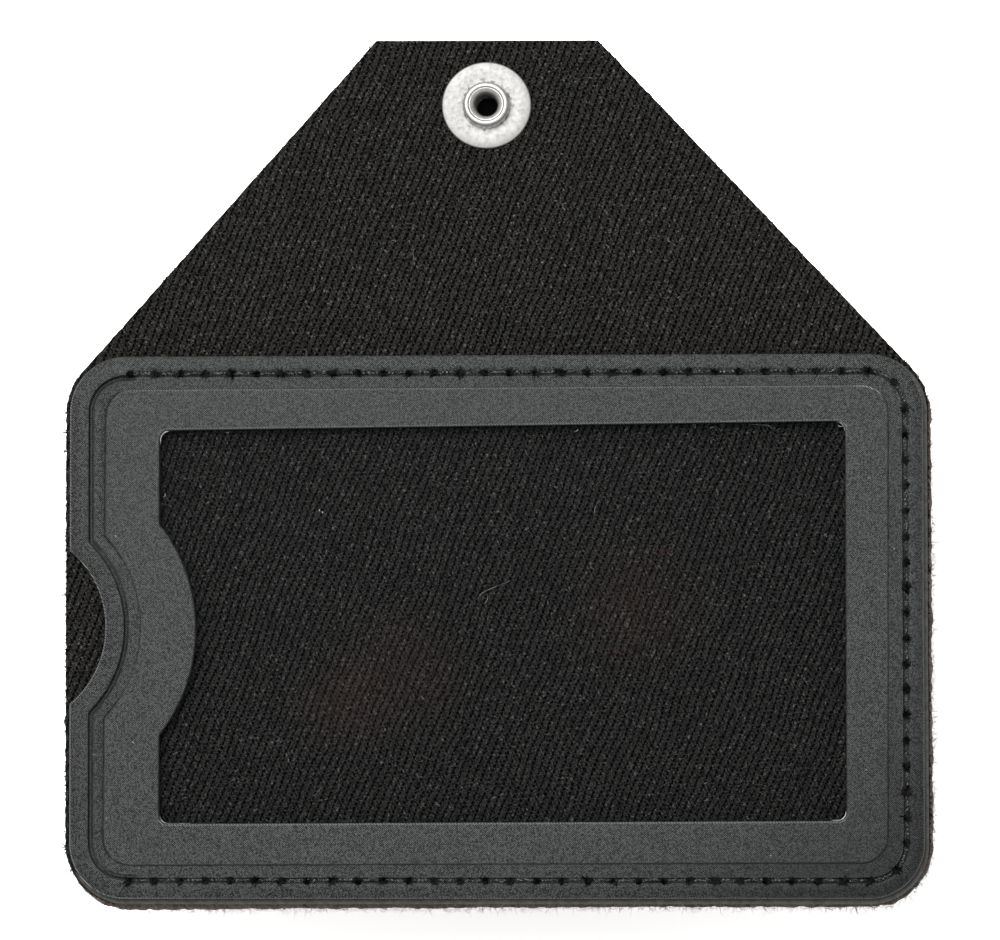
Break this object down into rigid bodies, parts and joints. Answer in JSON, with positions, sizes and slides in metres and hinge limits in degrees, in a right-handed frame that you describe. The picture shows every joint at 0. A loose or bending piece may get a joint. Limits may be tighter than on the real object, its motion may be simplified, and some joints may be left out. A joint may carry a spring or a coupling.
{
  "type": "badge wallet",
  "caption": "Card pocket of black twill with a moulded window frame, a clear film, a thumb notch and a tapered flap that folds on two creases and carries a snap stud.",
  "frame": {"origin": "middle of the lining's rear face, under the middle of the window frame", "axes": "+X along the card's long side to the closed end, +Y to the flap, +Z out of the window"},
  "size_m": [0.0967, 0.0966, 0.0041],
  "materials": {
    "moulded_frame": "dark grey moulded plastic, fine leather grain, satin",
    "clear_film": "clear flexible film, glossy",
    "edge_sheet": "grey-green cut sheet edge, matte",
    "twill": "heavy black twill, steep diagonal wales, cut edge",
    "felt_lining": "brown-grey fuzzy backing",
    "thread": "black twisted sewing thread",
    "snap_metal": "satin plated sheet metal"
  },
  "bodies": {
    "pocket": {"window_frame": "moulded_frame", "clear_window": "clear_film", "pocket_spacer": "edge_sheet", "pocket_back": "twill", "rear_lining": "felt_lining", "needle_thread": "thread", "bobbin_thread": "thread"},
    "fold": {"fold_strip": "twill"},
    "flap": {"flap_panel": "twill", "snap_stud": "snap_metal", "snap_eyelet": "snap_metal"}
  },
  "joints": [
    {"name": "lower_crease", "type": "hinge", "parent": "pocket", "child": "fold", "pos_m": [0, 0.03095, 0.00115], "axis": [1, 0, 0], "range_deg": [-90, 90]},
    {"name": "upper_crease", "type": "hinge", "parent": "fold", "child": "flap", "pos_m": [0, 0.03545, 0.00115], "axis": [1, 0, 0], "range_deg": [-90, 90]}
  ]
}
